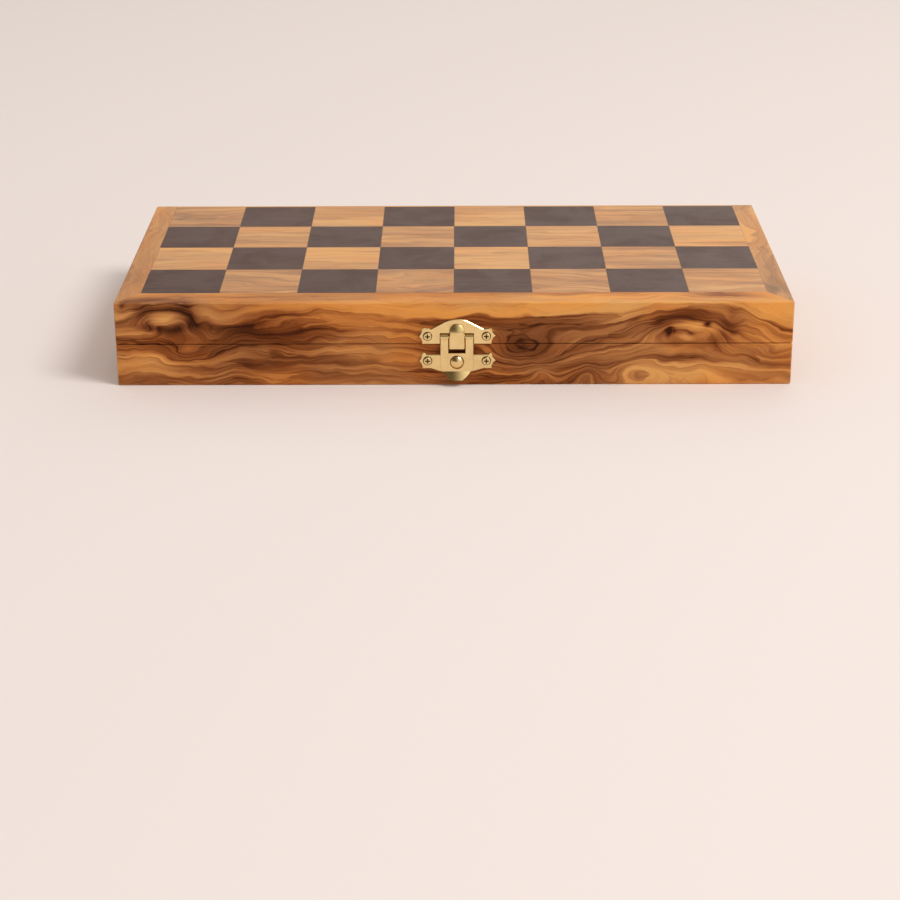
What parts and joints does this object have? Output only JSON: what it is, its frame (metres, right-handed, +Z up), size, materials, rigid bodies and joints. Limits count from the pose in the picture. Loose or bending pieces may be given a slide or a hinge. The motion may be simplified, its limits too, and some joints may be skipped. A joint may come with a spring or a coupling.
{
  "type": "chess box with hinged lid",
  "caption": "Folding wooden chess box: two hinged shallow halves whose outer faces form a chessboard when opened, held shut by a brass clasp.",
  "frame": {"origin": "middle of the base's playing face, on which the closed box lies", "axes": "+Z up, +Y from the clasp to the hinges, +X along the box, to the right seen from the clasp"},
  "size_m": [0.35, 0.1884, 0.045],
  "materials": {
    "rail_wood": "satin varnished olive wood with dark figure",
    "light_square_wood": "satin varnished pale olive wood",
    "dark_square_wood": "satin varnished wood, stained purple-brown",
    "panel_plywood": "bare plywood",
    "lining_felt": "short-napped green felt",
    "clasp_brass": "polished yellow brass",
    "hinge_brass": "satin brass"
  },
  "bodies": {
    "base": {"base_dark_squares_row_1": "dark_square_wood", "base_dark_squares_row_2": "dark_square_wood", "base_dark_squares_row_3": "dark_square_wood", "base_dark_squares_row_4": "dark_square_wood", "base_felt_lining": "lining_felt", "base_front_rail": "rail_wood", "base_hinge_screws": "hinge_brass", "base_hinge_wall": "rail_wood", "base_latch_screws": "clasp_brass", "base_left_hinge_leaf": "hinge_brass", "base_left_rail": "rail_wood", "base_light_squares_row_1": "light_square_wood", "base_light_squares_row_2": "light_square_wood", "base_light_squares_row_3": "light_square_wood", "base_light_squares_row_4": "light_square_wood", "base_panel": "panel_plywood", "base_right_hinge_leaf": "hinge_brass", "base_right_rail": "rail_wood", "latch_stud": "clasp_brass", "latch_stud_plate": "clasp_brass", "left_hinge_pin": "hinge_brass", "right_hinge_pin": "hinge_brass"},
    "lid": {"latch_hood_plate": "clasp_brass", "latch_pin": "clasp_brass", "lid_dark_squares_row_1": "dark_square_wood", "lid_dark_squares_row_2": "dark_square_wood", "lid_dark_squares_row_3": "dark_square_wood", "lid_dark_squares_row_4": "dark_square_wood", "lid_felt_lining": "lining_felt", "lid_front_rail": "rail_wood", "lid_hinge_screws": "hinge_brass", "lid_hinge_wall": "rail_wood", "lid_latch_screws": "clasp_brass", "lid_left_hinge_leaf": "hinge_brass", "lid_left_rail": "rail_wood", "lid_light_squares_row_1": "light_square_wood", "lid_light_squares_row_2": "light_square_wood", "lid_light_squares_row_3": "light_square_wood", "lid_light_squares_row_4": "light_square_wood", "lid_panel": "panel_plywood", "lid_right_hinge_leaf": "hinge_brass", "lid_right_rail": "rail_wood"},
    "latch_flap": {"latch_flap": "clasp_brass"}
  },
  "joints": [
    {"name": "lid_hinge", "type": "hinge", "parent": "base", "child": "lid", "pos_m": [0, 0.0915, 0.0225], "axis": [-1, 0, 0], "range_deg": [0, 180]},
    {"name": "flap_hinge", "type": "hinge", "parent": "lid", "child": "latch_flap", "pos_m": [0.0015, -0.09275, 0.027], "axis": [-1, 0, 0], "range_deg": [0, 180]}
  ]
}
